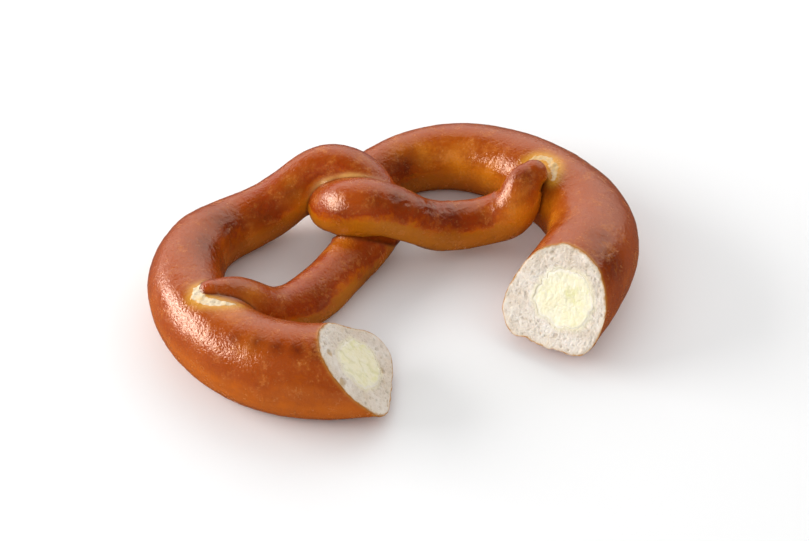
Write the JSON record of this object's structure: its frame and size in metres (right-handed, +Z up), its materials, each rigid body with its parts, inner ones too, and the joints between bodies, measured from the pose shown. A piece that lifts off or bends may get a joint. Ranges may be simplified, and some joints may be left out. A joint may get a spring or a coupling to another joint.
{
  "type": "soft pretzel",
  "caption": "Soft baked pretzel with a twisted middle, cut through the belly to show pale crumb and a soft cheese filling.",
  "frame": {"origin": "on the resting plane, under the middle of the pretzel's bounding box", "axes": "+X across the pretzel from its left lobe to its right lobe, +Y from the cut belly to the twist at the back, +Z up from the surface it rests on"},
  "size_m": [0.1836, 0.1382, 0.0363],
  "materials": {
    "crust": "stands for a glossy red-brown baked crust; the cut faces are pale cream crumb",
    "filling": "stands for a soft pale yellow curd cheese"
  },
  "bodies": {
    "root": {"bread": "crust", "filling_left": "filling", "filling_right": "filling"}
  },
  "joints": []
}
